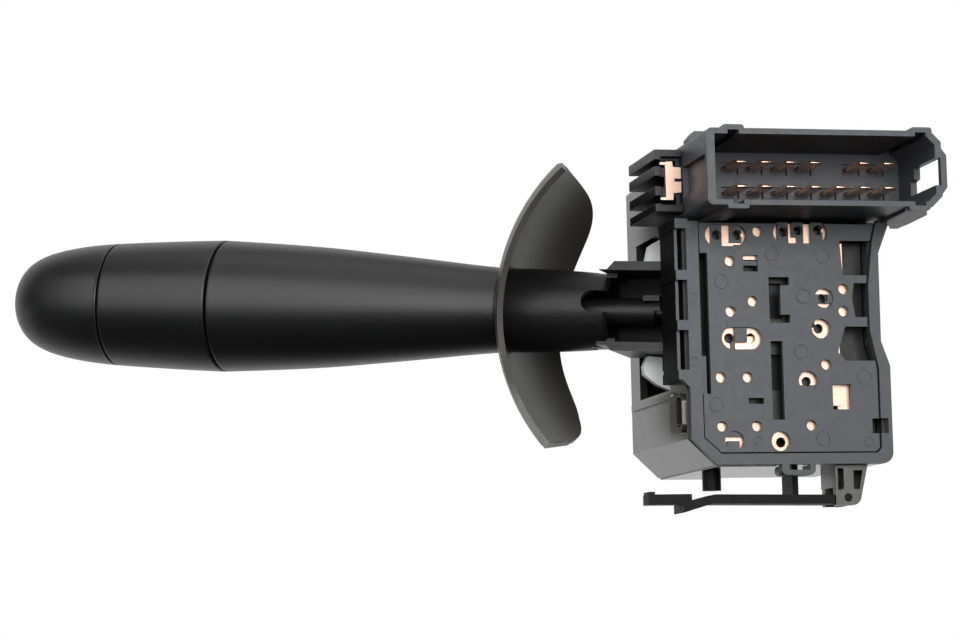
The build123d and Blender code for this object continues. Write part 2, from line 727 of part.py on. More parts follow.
# ---------------------------------------------------------------- lever core: neck, spigot and fork
with BuildPart() as lever_core:
    with BuildSketch(stalk_profile):
        with BuildLine():
            Polyline((neck_start, 6.0), (neck_start, 7.0), (neck_start + 0.6, neck_end_radius))
            Spline((neck_start + 0.6, neck_end_radius), (31.0, 8.4), (40.0, neck_radius))
            Polyline(
                (40.0, neck_radius), (sleeve_start - 0.1, neck_radius), (sleeve_start - 0.1, spigot_radius),
                (ring_start - 0.9, spigot_radius), (ring_start - 0.9, tube_radius + running_fit),
                (38.0, tube_radius + running_fit), (36.0, 6.0), (neck_start, 6.0),
            )
        make_face()
    revolve(axis=stalk_axis)
    for height in (fork_bottom, fork_top - fork_thickness):
        with BuildSketch(fork_level(height)):
            with BuildLine():
                Polyline(
                    (fork_reach + 1.0, fork_near), (5.5, fork_near), (0, fork_end_radius),
                    (0, -fork_end_radius), (5.0, fork_far), (fork_reach + 1.0, fork_far), close=True,
                )
            make_face()
            Circle(fork_end_radius)
            Circle(fork_pin_radius + running_fit, mode=Mode.SUBTRACT)
        extrude(amount=fork_thickness)
    # roots that carry the arms onto the neck, and the web on the far side
    for height in (fork_bottom + 1.2, fork_top - 2.8):
        with BuildSketch(fork_level(height)):
            with Locations((18.3, 0)):
                Rectangle(2.2, 8.0)
        extrude(amount=1.7)
    with BuildSketch(stalk_profile.offset(-fork_far - 1.5)):
        with Locations((14.2, (fork_top + fork_bottom) / 2)):
            Rectangle(10.4, fork_top - fork_bottom)
        with Locations((20.4, 1.4)):
            Rectangle(4.4, 7.0)
    extrude(amount=1.5)
    # bevelled ends of the fork's arms
    with BuildSketch(stalk_profile.offset(-fork_near - 1)):
        with BuildLine():
            Polyline(
                (bevel_start, fork_top), (22.0, fork_top), (22.0, 7.6), (bevel_start + 1.5, 7.6), close=True,
            )
        make_face()
        with BuildLine():
            Polyline(
                (bevel_start, fork_bottom), (22.0, fork_bottom), (22.0, -7.6), (bevel_start + 1.1, -7.6),
                close=True,
            )
        make_face()
    extrude(amount=fork_near - fork_far + 2, mode=Mode.SUBTRACT)
    # slot in the near side of the neck
    with BuildSketch(stalk_profile.offset(-4.6)):
        with Locations((20.0, slot_rise)):
            Rectangle(9.6, 4.4)
        with Locations((24.8, slot_rise)):
            Circle(2.2)
    extrude(amount=-6.0, mode=Mode.SUBTRACT)
finish(lever_core, "lever_core")


# ---------------------------------------------------------------- stalk sleeve
with BuildPart() as stalk_sleeve:
    with BuildSketch(stalk_profile):
        with BuildLine():
            Spline((sleeve_start, 8.66), (57.6, 10.3), (77.3, 12.3), (93.0, 13.38), (102.0, grip_radius - 0.05))
            Polyline(
                (102.0, grip_radius - 0.05), (102.0, sleeve_bore), (98.0, sleeve_bore), (98.0, 11.4),
                (77.3, 10.2), (57.6, 8.2), (47.0, 7.2), (44.0, sleeve_bore), (sleeve_start, sleeve_bore),
                (sleeve_start, 8.66),
            )
        make_face()
    revolve(axis=stalk_axis)
finish(stalk_sleeve, "stalk_sleeve")


# ---------------------------------------------------------------- shield
shield_lean = radians(shield_back_angle)
shield_along = Vector(-cos(shield_lean) * cos(rise), sin(shield_lean) * cos(rise), sin(rise))
shield_near = Vector(-sin(shield_lean), -cos(shield_lean), 0)
with BuildPart() as shield:
    with Locations(Location(pivot)):
        Sphere(shield_radius)
        Sphere(shield_radius - shield_thickness, mode=Mode.SUBTRACT)
    with BuildSketch(Plane(origin=pivot, x_dir=shield_near, z_dir=shield_along)):
        with BuildLine():
            Spline((14.4, -28.4), (18.9, -9.0), (21.8, 8.0), (22.6, 26.9))
            Polyline((22.6, 26.9), (12.0, 29.7), (2.2, 29.7))
            Spline(
                (2.2, 29.7), (-6.2, 28.4), (-14.1, 25.5), (-18.6, 20.8), (-19.8, 14.0), (-18.0, -8.0),
                (-18.1, -16.9), (-15.0, -24.4), (-10.0, -26.6), (-1.0, -27.7),
            )
            Polyline((-1.0, -27.7), (14.4, -28.4))
        make_face()
    extrude(amount=shield_radius + 2, mode=Mode.INTERSECT)
    with BuildSketch(stalk_section(30)):
        Circle(neck_radius + 0.05)
    extrude(amount=16, mode=Mode.SUBTRACT)
    # collar on the neck
    with BuildSketch(stalk_section(37.4)):
        Circle(neck_radius + 1.1)
        Circle(neck_radius + 0.05, mode=Mode.SUBTRACT)
    extrude(amount=4.0)
finish(shield, "shield")


# ---------------------------------------------------------------- rotary ring on its tube
with BuildPart() as rotary_ring:
    with BuildSketch(stalk_profile):
        with BuildLine():
            Spline((ring_start, grip_radius), (111.0, 13.64), (120.0, 13.3), (knob_start - 0.35, 13.0))
            Polyline(
                (knob_start - 0.35, 13.0), (knob_start - 0.35, 11.4), (105.5, 11.7), (104.5, 10.7),
                (104.5, rod_radius + running_fit), (tube_start, rod_radius + running_fit),
                (tube_start, tube_radius), (ring_start, tube_radius), (ring_start, grip_radius),
            )
        make_face()
    revolve(axis=stalk_axis)
    # stepped end of the tube with its driving lug
    with BuildSketch(stalk_profile.offset(-4)):
        with Locations((tube_start + 0.5, -1.9)):
            Rectangle(1.4, 4.0)
        with Locations((tube_start + 1.5, 3.6)):
            Rectangle(3.4, 4.0)
    extrude(amount=8, mode=Mode.SUBTRACT)
    with BuildSketch(stalk_profile.offset(-2.9)):
        with Locations((tube_start + 1.9, 2.6)):
            Rectangle(3.4, 1.1)
    extrude(amount=2.4)
finish(rotary_ring, "rotary_ring")


# ---------------------------------------------------------------- end knob on its rod
with BuildPart() as end_knob:
    with BuildSketch(stalk_profile):
        with BuildLine():
            Spline(
                (knob_start, 12.97), (134.0, 12.35), (140.0, 11.35), (145.0, 9.6), (148.6, 6.2), (knob_tip, 0),
                tangents=((1, -0.06), (0, -1)),
            )
            Polyline(
                (knob_tip, 0), (8.0, 0), (8.0, rod_radius), (106.0, rod_radius), (106.0, 3.2), (139.0, 3.2),
                (141.5, 6.0), (136.5, 9.2), (128.0, 9.7), (118.0, 9.7), (118.0, 10.9), (knob_start, 10.9),
                (knob_start, 12.97),
            )
        make_face()
    revolve(axis=stalk_axis)
finish(end_knob, "end_knob")


# ---------------------------------------------------------------- latch arm
arm_end = bracket_left - running_gap

with BuildPart() as latch_arm:
    with BuildSketch(face_plane(3.0)):
        with BuildLine():
            Polyline(
                (arm_end, -35.9), (2.9, -35.6), (-1.85, -36.8), (-3.6, -37.3), (-3.6, -39.1), (2.3, -37.4),
                (arm_end, -37.7), close=True,
            )
        make_face()
    extrude(amount=-7.0)
    with BuildSketch(face_plane(3.0)):
        with Locations((-6.2, -36.5)):
            Rectangle(8.7, 2.0)
        with Locations((-9.8, -35.4)):
            Rectangle(1.2, 0.8)
    extrude(amount=-4.0)
    with BuildSketch(face_plane(5.0)):
        with Locations((27.8, -36.75)):
            Rectangle(3.8, 1.8)
        with Locations((latch_pin_across, latch_pin_height)):
            Circle(1.6)
            Circle(latch_pin_radius + running_fit, mode=Mode.SUBTRACT)
    extrude(amount=-4.5)
finish(latch_arm, "latch_arm")

with BuildPart() as latch_pin:
    with BuildSketch(face_plane(3.1)):
        with Locations((latch_pin_across, latch_pin_height)):
            Circle(latch_pin_radius)
    extrude(amount=-8.2)
finish(latch_pin, "latch_pin")


# ---------------------------------------------------------------- detent
with BuildPart() as detent_track:
    with BuildSketch(face_plane(18.5)):
        with Locations((30.8, 1.8)):
            Rectangle(8.4, 15.6)
        with Locations((pivot_across, pivot_height)):
            Circle(track_radius, mode=Mode.SUBTRACT)
            with PolarLocations(track_radius + 0.6, 3, -9, 18):
                Circle(1.5, mode=Mode.SUBTRACT)
    extrude(amount=-4.5)
finish(detent_track, "detent_track")

with BuildPart() as detent_plunger:
    with BuildSketch(side_plane(18.0)):
        with Locations((plunger_depth, pivot_height)):
            Circle(plunger_radius)
    extrude(amount=track_radius - running_gap + pivot_across - 18.0)
    fillet(detent_plunger.edges().group_by(Axis.X)[-1], 1.3)
finish(detent_plunger, "detent_plunger")

with BuildPart() as detent_spring:
    with BuildLine() as coil:
        Helix(
            pitch=0.95, height=3.8, radius=1.1, direction=(1, 0, 0),
            center=place(13.9, plunger_depth, pivot_height),
        )
    with BuildSketch(Plane(origin=coil.line @ 0, z_dir=coil.line % 0)):
        Circle(0.2)
    sweep()
finish(detent_spring, "detent_spring")
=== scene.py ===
"""Combination stalk switch: the visual model, dressed over the frame of its solids."""

from __future__ import annotations

import json
import logging
import math
from collections.abc import Callable, Sequence
from dataclasses import dataclass, field
from enum import Enum

import bmesh
import bpy
from mathutils import Matrix, Vector

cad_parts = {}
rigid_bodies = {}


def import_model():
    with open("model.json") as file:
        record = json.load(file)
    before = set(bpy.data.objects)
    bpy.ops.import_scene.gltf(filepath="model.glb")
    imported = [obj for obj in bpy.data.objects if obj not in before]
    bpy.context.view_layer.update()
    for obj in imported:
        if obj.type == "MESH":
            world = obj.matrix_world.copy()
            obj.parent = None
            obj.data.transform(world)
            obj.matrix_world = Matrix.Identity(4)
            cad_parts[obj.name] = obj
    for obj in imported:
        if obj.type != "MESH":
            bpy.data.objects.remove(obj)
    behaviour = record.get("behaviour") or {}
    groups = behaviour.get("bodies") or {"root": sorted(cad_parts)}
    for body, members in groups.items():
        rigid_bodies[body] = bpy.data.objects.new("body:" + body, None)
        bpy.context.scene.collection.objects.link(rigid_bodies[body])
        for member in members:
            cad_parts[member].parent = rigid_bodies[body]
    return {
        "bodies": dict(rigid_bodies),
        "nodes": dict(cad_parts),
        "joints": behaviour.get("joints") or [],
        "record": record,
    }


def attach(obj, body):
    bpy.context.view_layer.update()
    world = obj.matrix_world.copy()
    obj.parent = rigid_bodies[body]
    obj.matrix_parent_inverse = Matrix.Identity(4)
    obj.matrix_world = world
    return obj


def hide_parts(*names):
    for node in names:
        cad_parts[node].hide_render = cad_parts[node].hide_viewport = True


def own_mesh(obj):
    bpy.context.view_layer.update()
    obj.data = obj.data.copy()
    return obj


log = logging.getLogger("stalk_switch")

Pair = tuple[float, float]
Triple = tuple[float, float, float]

MM = 0.001
FACE_CENTRE = 17.0
HOUSING_DEPTH = 43.5
ON_AXIS = 1e-6
SAME_PLACE = 2e-6
ON_CUT = 1e-7
FLAT_DEG = 1.0


def datum(across: float, depth: float, height: float) -> Vector:
    """Turns a place in the housing datum, in millimetres, into the shared frame.

    Args:
        across: distance right of the terminal face's left border.
        depth: distance behind the terminal face.
        height: height above the frame's origin.

    Returns:
        The same place in metres, in the frame of the solids.
    """
    return Vector((across - FACE_CENTRE, depth - HOUSING_DEPTH, height)) * MM


@dataclass(frozen=True)
class StalkLine:
    """The stalk's own axes, which lean back and rise a little from the pivot."""

    pivot: Triple = (6.6, 20.0, 1.6)
    back_deg: float = 28.0
    rise_deg: float = 3.9

    @property
    def along(self) -> Vector:
        """Unit vector from the pivot to the stalk's tip."""
        back, rise = math.radians(self.back_deg), math.radians(self.rise_deg)
        return Vector((-math.cos(back) * math.cos(rise), math.sin(back) * math.cos(rise), math.sin(rise)))

    @property
    def near(self) -> Vector:
        """Unit vector square to the stalk, towards the terminal face."""
        back = math.radians(self.back_deg)
        return Vector((-math.sin(back), -math.cos(back), 0.0))

    @property
    def up(self) -> Vector:
        """Unit vector square to the stalk, upwards."""
        return self.along.cross(self.near)

    def at(self, distance: float, near: float = 0.0, up: float = 0.0) -> Vector:
        """Place at a distance along the stalk and offsets square to it.

        Args:
            distance: millimetres from the pivot towards the tip.
            near: millimetres towards the terminal face.
            up: millimetres upwards.

        Returns:
            The place in metres, in the shared frame.
        """
        return datum(*self.pivot) + (self.along * distance + self.near * near + self.up * up) * MM


# ------------------------------------------------------------------ meshes


def new_object(name: str, mesh: bpy.types.Mesh) -> bpy.types.Object:
    """Links a mesh to the scene as an object at the origin.

    Args:
        name: the piece's name.
        mesh: its mesh, already in place.

    Returns:
        The new object.
    """
    piece = bpy.data.objects.new(name, mesh)
    bpy.context.scene.collection.objects.link(piece)
    return piece


def mesh_from(name: str, bm: bmesh.types.BMesh) -> bpy.types.Object:
    """Turns a bmesh into a linked object and frees it.

    Args:
        name: the piece's name.
        bm: the finished bmesh.

    Returns:
        The new object.
    """
    mesh = bpy.data.meshes.new(name)
    bm.to_mesh(mesh)
    bm.free()
    return new_object(name, mesh)


def bake(piece: bpy.types.Object) -> bpy.types.Object:
    """Applies all modifiers of a piece to its mesh.

    Args:
        piece: the object whose modifiers are live.

    Returns:
        The same object with a plain mesh.
    """
    bpy.context.view_layer.update()
    graph = bpy.context.evaluated_depsgraph_get()
    mesh = bpy.data.meshes.new_from_object(piece.evaluated_get(graph), depsgraph=graph)
    piece.modifiers.clear()
    old, piece.data = piece.data, mesh
    mesh.name = piece.name
    bpy.data.meshes.remove(old)
    return piece


def smooth(piece: bpy.types.Object, angle_deg: float) -> None:
    """Shades a piece smooth, with hard edges above an angle.

    Args:
        piece: the object to shade.
        angle_deg: the smallest angle between faces that stays a hard edge.
    """
    piece.data.shade_smooth()
    piece.data.set_sharp_from_angle(angle=math.radians(angle_deg))


def round_edges(piece: bpy.types.Object, width: float, segments: int = 2, angle_deg: float = 32.0) -> None:
    """Rounds a piece's hard edges, keeps its flats flat to the light, and bakes the result.

    Args:
        piece: the object to work on.
        width: the width of the rounding in millimetres.
        segments: the faces across each rounding.
        angle_deg: the smallest angle between faces that is rounded.
    """
    bevel = piece.modifiers.new("rounding", "BEVEL")
    bevel.width = width * MM
    bevel.segments = segments
    bevel.limit_method = "ANGLE"
    bevel.angle_limit = math.radians(angle_deg)
    bevel.use_clamp_overlap = True
    piece.data.shade_smooth()
    flats = piece.modifiers.new("flats", "WEIGHTED_NORMAL")
    flats.mode = "FACE_AREA"
    flats.weight = 100
    flats.keep_sharp = True
    bake(piece)


def through(points: Sequence[Pair], steps: int = 8) -> list[Pair]:
    """Samples a smooth curve through points.

    Args:
        points: the points that the curve passes through.
        steps: the samples between each two points.

    Returns:
        The sampled points, both ends included.
    """
    ends = [points[0], *points, points[-1]]
    out: list[Pair] = []
    for i in range(1, len(ends) - 2):
        a, b, c, d = (Vector(ends[i + k]) for k in (-1, 0, 1, 2))
        for k in range(steps):
            t = k / steps
            bend, twist = 2 * a - 5 * b + 4 * c - d, 3 * b - a - 3 * c + d
            p = 0.5 * (2 * b + (c - a) * t + bend * t**2 + twist * t**3)
            out.append((p.x, p.y))
    out.append(points[-1])
    return out


def turned(name: str, profile: Sequence[Pair], line: StalkLine, sides: int = 128) -> bpy.types.Object:
    """Turns a closed profile round the stalk's axis.

    Args:
        name: the piece's name.
        profile: points as distance along the stalk and radius, in millimetres, going round the section.
        line: the stalk's axes.
        sides: the number of faces round the turn.

    Returns:
        The turned piece, with its faces pointing outwards.
    """
    bm = bmesh.new()
    rings: list[list[bmesh.types.BMVert]] = []
    for distance, radius in profile:
        if radius < ON_AXIS:
            rings.append([bm.verts.new(line.at(distance))])
            continue
        ring = []
        for side in range(sides):
            angle = 2 * math.pi * side / sides
            ring.append(bm.verts.new(line.at(distance, radius * math.cos(angle), radius * math.sin(angle))))
        rings.append(ring)
    for first, second in zip(rings, rings[1:] + rings[:1]):
        for side in range(sides):
            after = (side + 1) % sides
            corners = [first[side % len(first)], first[after % len(first)]]
            corners += [second[after % len(second)], second[side % len(second)]]
            unique = list(dict.fromkeys(corners))
            if len(unique) > 2:
                bm.faces.new(unique)
    bmesh.ops.recalc_face_normals(bm, faces=bm.faces)
    return mesh_from(name, bm)


def shell(name: str, grid: Sequence[Sequence[Vector]], outward: Vector, thickness: float) -> bpy.types.Object:
    """Makes a shell from a grid of places on its outer face.

    Args:
        name: the piece's name.
        grid: rows of places, all of one length.
        outward: a direction that the outer face's first corner looks to.
        thickness: the wall's thickness in millimetres.

    Returns:
        The shell, with its faces pointing outwards.
    """
    bm = bmesh.new()
    rows = [[bm.verts.new(place) for place in places] for places in grid]
    for lower, upper in zip(rows, rows[1:]):
        for column in range(len(lower) - 1):
            bm.faces.new((lower[column], upper[column], upper[column + 1], lower[column + 1]))
    bmesh.ops.recalc_face_normals(bm, faces=bm.faces)
    if next(iter(bm.faces)).normal.dot(outward) < 0:
        bmesh.ops.reverse_faces(bm, faces=bm.faces)
    piece = mesh_from(name, bm)
    wall = piece.modifiers.new("wall", "SOLIDIFY")
    wall.thickness = thickness * MM
    wall.offset = -1.0
    return bake(piece)


def copy_of_solid(frame: dict, node: str) -> bpy.types.Object:
    """Copies a solid's mesh into a new piece with its loose triangles joined.

    Args:
        node: the solid's name.

    Returns:
        The new piece, with flat areas merged into single faces.
    """
    bm = bmesh.new()
    bm.from_mesh(frame["nodes"][node].data)
    bmesh.ops.remove_doubles(bm, verts=bm.verts, dist=SAME_PLACE)
    bmesh.ops.dissolve_limit(bm, angle_limit=math.radians(FLAT_DEG), verts=bm.verts, edges=bm.edges)
    return mesh_from(f"{node}_moulding", bm)


def cut_off(piece: bpy.types.Object, name: str, line: StalkLine, distance: float) -> bpy.types.Object:
    """Keeps only the end of a piece that lies nearer the pivot than a distance along the stalk.

    Args:
        piece: the piece to cut.
        name: the name that the rest gets.
        line: the stalk's axes.
        distance: millimetres from the pivot.

    Returns:
        The same object, closed at the cut.
    """
    bm = bmesh.new()
    bm.from_mesh(piece.data)
    geometry = [*bm.verts, *bm.edges, *bm.faces]
    cut = bmesh.ops.bisect_plane(
        bm, geom=geometry, dist=ON_CUT, plane_co=line.at(distance), plane_no=line.along, clear_outer=True
    )
    edges = [item for item in cut["geom_cut"] if isinstance(item, bmesh.types.BMEdge)]
    bmesh.ops.triangle_fill(bm, use_beauty=True, edges=edges)
    bmesh.ops.recalc_face_normals(bm, faces=bm.faces)
    bm.to_mesh(piece.data)
    bm.free()
    piece.name = name
    piece.data.name = name
    return piece


@dataclass(frozen=True)
class Row:
    """A Geometry Nodes tree that repeats a piece's own mesh along a line, with one place left out."""

    count: int
    pitch: Triple
    skipped: int

    def tree(self) -> bpy.types.NodeTree:
        """Builds the tree, with its sizes as named inputs.

        Returns:
            The node group.
        """
        tree = bpy.data.node_groups.new("row_of_blades", "GeometryNodeTree")
        face = tree.interface
        face.new_socket("Geometry", in_out="INPUT", socket_type="NodeSocketGeometry")
        for name, kind in (
            ("Count", "NodeSocketInt"), ("Pitch", "NodeSocketVector"), ("Skipped", "NodeSocketInt"),
            ("Material", "NodeSocketMaterial"),
        ):
            face.new_socket(name, in_out="INPUT", socket_type=kind)
        face.new_socket("Geometry", in_out="OUTPUT", socket_type="NodeSocketGeometry")
        nodes, link = tree.nodes, tree.links.new
        given = nodes.new("NodeGroupInput")
        line = nodes.new("GeometryNodeMeshLine")
        line.mode = "OFFSET"
        link(given.outputs["Count"], line.inputs["Count"])
        link(given.outputs["Pitch"], line.inputs["Offset"])
        index = nodes.new("GeometryNodeInputIndex")
        same = nodes.new("FunctionNodeCompare")
        same.data_type, same.operation = "INT", "EQUAL"
        whole = [socket for socket in same.inputs if socket.type == "INT"]
        link(index.outputs["Index"], whole[0])
        link(given.outputs["Skipped"], whole[1])
        gap = nodes.new("GeometryNodeDeleteGeometry")
        gap.domain = "POINT"
        link(line.outputs["Mesh"], gap.inputs["Geometry"])
        link(same.outputs["Result"], gap.inputs["Selection"])
        copies = nodes.new("GeometryNodeInstanceOnPoints")
        link(gap.outputs["Geometry"], copies.inputs["Points"])
        link(given.outputs["Geometry"], copies.inputs["Instance"])
        real = nodes.new("GeometryNodeRealizeInstances")
        link(copies.outputs["Instances"], real.inputs["Geometry"])
        paint = nodes.new("GeometryNodeSetMaterial")
        link(real.outputs["Geometry"], paint.inputs["Geometry"])
        link(given.outputs["Material"], paint.inputs["Material"])
        result = nodes.new("NodeGroupOutput")
        link(paint.outputs["Geometry"], result.inputs["Geometry"])
        return tree

    def repeat(self, piece: bpy.types.Object, material: bpy.types.Material) -> bpy.types.Object:
        """Repeats a piece along the row and turns the result into a plain mesh.

        Args:
            piece: the first piece of the row, in place.
            material: the material of the row.

        Returns:
            The same object with the whole row in its mesh.
        """
        tree = self.tree()
        row = piece.modifiers.new("row", "NODES")
        row.node_group = tree
        pitch = [v * MM for v in self.pitch]
        values = {"Count": self.count, "Pitch": pitch, "Skipped": self.skipped, "Material": material}
        for item in tree.interface.items_tree:
            if item.in_out == "INPUT" and item.name in values:
                row[item.identifier] = values[item.name]
        return bake(piece)


# ------------------------------------------------------------------ finishes


@dataclass
class NodeChain:
    """A small helper that adds and links the shader nodes of one material or world."""

    material: bpy.types.Material | bpy.types.World

    @property
    def tree(self) -> bpy.types.NodeTree:
        """The material's node tree."""
        return self.material.node_tree

    def add(self, kind: str, **values: object) -> bpy.types.Node:
        """Adds a node and sets its plain properties and its unlinked inputs.

        Args:
            kind: the node's type name.
            values: property or input names, with spaces as underscores, and their values.

        Returns:
            The new node.
        """
        node = self.tree.nodes.new(kind)
        for key, value in values.items():
            label = key.replace("_", " ")
            if label in node.inputs:
                node.inputs[label].default_value = value
            else:
                setattr(node, key, value)
        return node

    def link(self, source: bpy.types.NodeSocket, target: bpy.types.NodeSocket) -> None:
        """Links one socket to another."""
        self.tree.links.new(source, target)

    def noise(
        self, scale: float, detail: float, roughness: float = 0.55, stretch: Triple = (1.0, 1.0, 1.0)
    ) -> bpy.types.NodeSocket:
        """Adds a noise pattern on object coordinates.

        Args:
            scale: features per metre.
            detail: the noise's octaves.
            roughness: how strong the finer octaves are.
            stretch: scale along each axis.

        Returns:
            The socket that holds the pattern, from 0 to 1.
        """
        where = self.add("ShaderNodeTexCoord")
        turn = self.add("ShaderNodeMapping", Scale=stretch)
        self.link(where.outputs["Object"], turn.inputs["Vector"])
        noise = self.add("ShaderNodeTexNoise", Scale=scale, Detail=detail, Roughness=roughness)
        self.link(turn.outputs["Vector"], noise.inputs["Vector"])
        return noise.outputs["Fac"]

    def place(self, coordinates: str, axis: str) -> bpy.types.NodeSocket:
        """Adds one component of a coordinate.

        Args:
            coordinates: the kind of coordinates, Object or Generated.
            axis: the component, X, Y or Z.

        Returns:
            The socket that holds it.
        """
        where = self.add("ShaderNodeTexCoord")
        split = self.add("ShaderNodeSeparateXYZ")
        self.link(where.outputs[coordinates], split.inputs["Vector"])
        return split.outputs[axis]

    def blend(
        self, source: bpy.types.NodeSocket, start: tuple[float, Triple], stop: tuple[float, Triple]
    ) -> bpy.types.NodeSocket:
        """Maps a pattern to a blend of two colours.

        Args:
            source: the pattern.
            start: where the blend starts, and the linear colour up to there.
            stop: where it stops, and the linear colour from there on.

        Returns:
            The colour socket.
        """
        ramp = self.add("ShaderNodeValToRGB")
        for element, (position, colour) in zip(ramp.color_ramp.elements, (start, stop)):
            element.position = position
            element.color = (*colour, 1.0)
        self.link(source, ramp.inputs["Fac"])
        return ramp.outputs["Color"]

    def span(
        self, source: bpy.types.NodeSocket, low: float, high: float, start: float = 0.3, stop: float = 0.7
    ) -> bpy.types.NodeSocket:
        """Maps a pattern to a range of numbers.

        Args:
            source: the pattern.
            low: the value at the start.
            high: the value at the stop.
            start: where the range starts in the pattern.
            stop: where it stops.

        Returns:
            The mapped socket.
        """
        node = self.add("ShaderNodeMapRange", From_Min=start, From_Max=stop, To_Min=low, To_Max=high)
        self.link(source, node.inputs["Value"])
        return node.outputs["Result"]

    def combine(
        self, operation: str, first: bpy.types.NodeSocket, second: bpy.types.NodeSocket
    ) -> bpy.types.NodeSocket:
        """Joins two numbers with one operation.

        Args:
            operation: the operation's name.
            first: the first number.
            second: the second number.

        Returns:
            The socket of the result.
        """
        node = self.add("ShaderNodeMath", operation=operation)
        self.link(first, node.inputs[0])
        self.link(second, node.inputs[1])
        return node.outputs["Value"]

    def mix(
        self, share: bpy.types.NodeSocket, first: bpy.types.NodeSocket, second: bpy.types.NodeSocket
    ) -> bpy.types.NodeSocket:
        """Mixes two shaders.

        Args:
            share: how much of the second one shows, from 0 to 1.
            first: the first shader.
            second: the second shader.

        Returns:
            The mixed shader's socket.
        """
        node = self.add("ShaderNodeMixShader")
        self.link(share, node.inputs["Fac"])
        self.link(first, node.inputs[1])
        self.link(second, node.inputs[2])
        return node.outputs["Shader"]

    def bump(
        self, source: bpy.types.NodeSocket, depth_mm: float, below: bpy.types.NodeSocket | None = None
    ) -> bpy.types.NodeSocket:
        """Turns a pattern into relief.

        Args:
            source: the height pattern.
            depth_mm: the relief's depth in millimetres.
            below: relief that this one is laid over.

        Returns:
            The normal socket.
        """
        node = self.add("ShaderNodeBump", Strength=1.0, Distance=depth_mm * MM)
        self.link(source, node.inputs["Height"])
        if below is not None:
            self.link(below, node.inputs["Normal"])
        return node.outputs["Normal"]


@dataclass(frozen=True)
class MouldedPlastic:
    """Moulded plastic with a grain, uneven gloss and faint paler patches."""

    name: str
    colour: Triple
    worn_colour: Triple
    roughness: Pair
    grain_scale: float
    grain_depth: float
    wave_scale: float
    wave_depth: float
    specular: float = 0.5
    mottle_scale: float = 420.0
    sheen_scale: float = 900.0
    plain_until: float = 0.58
    worn_from: float = 0.86

    def build(self) -> bpy.types.Material:
        """Builds the material.

        Returns:
            The finished material.
        """
        material = bpy.data.materials.new(self.name)
        material.use_nodes = True
        chain = NodeChain(material)
        shader = chain.tree.nodes["Principled BSDF"]
        shader.inputs["Specular IOR Level"].default_value = self.specular
        mottle = chain.noise(self.mottle_scale, 5.0, 0.6)
        colour = chain.blend(mottle, (self.plain_until, self.colour), (self.worn_from, self.worn_colour))
        chain.link(colour, shader.inputs["Base Color"])
        sheen = chain.noise(self.sheen_scale, 4.0, 0.6)
        chain.link(chain.span(sheen, *self.roughness), shader.inputs["Roughness"])
        waves = chain.bump(chain.noise(self.wave_scale, 2.0), self.wave_depth)
        grain = chain.bump(chain.noise(self.grain_scale, 2.0), self.grain_depth, waves)
        chain.link(grain, shader.inputs["Normal"])
        return material


@dataclass(frozen=True)
class StampedCopper:
    """Stamped copper alloy with rolling marks and dull, warmer patches."""

    name: str
    bright: Triple
    darker: Triple
    roughness: Pair
    metallic: float
    tarnish_scale: float = 700.0
    bright_until: float = 0.6
    dull_from: float = 0.82
    rolling_scale: float = 1500.0
    rolling_stretch: Triple = (1.0, 1.0, 0.12)
    rolling_depth: float = 0.0008

    def build(self) -> bpy.types.Material:
        """Builds the material.

        Returns:
            The finished material.
        """
        material = bpy.data.materials.new(self.name)
        material.use_nodes = True
        chain = NodeChain(material)
        shader = chain.tree.nodes["Principled BSDF"]
        shader.inputs["Metallic"].default_value = self.metallic
        tarnish = chain.noise(self.tarnish_scale, 5.0, 0.65)
        colour = chain.blend(tarnish, (self.bright_until, self.bright), (self.dull_from, self.darker))
        chain.link(colour, shader.inputs["Base Color"])
        rolling = chain.noise(self.rolling_scale, 3.0, 0.5, self.rolling_stretch)
        chain.link(chain.span(rolling, *self.roughness), shader.inputs["Roughness"])
        chain.link(chain.bump(rolling, self.rolling_depth), shader.inputs["Normal"])
        return material


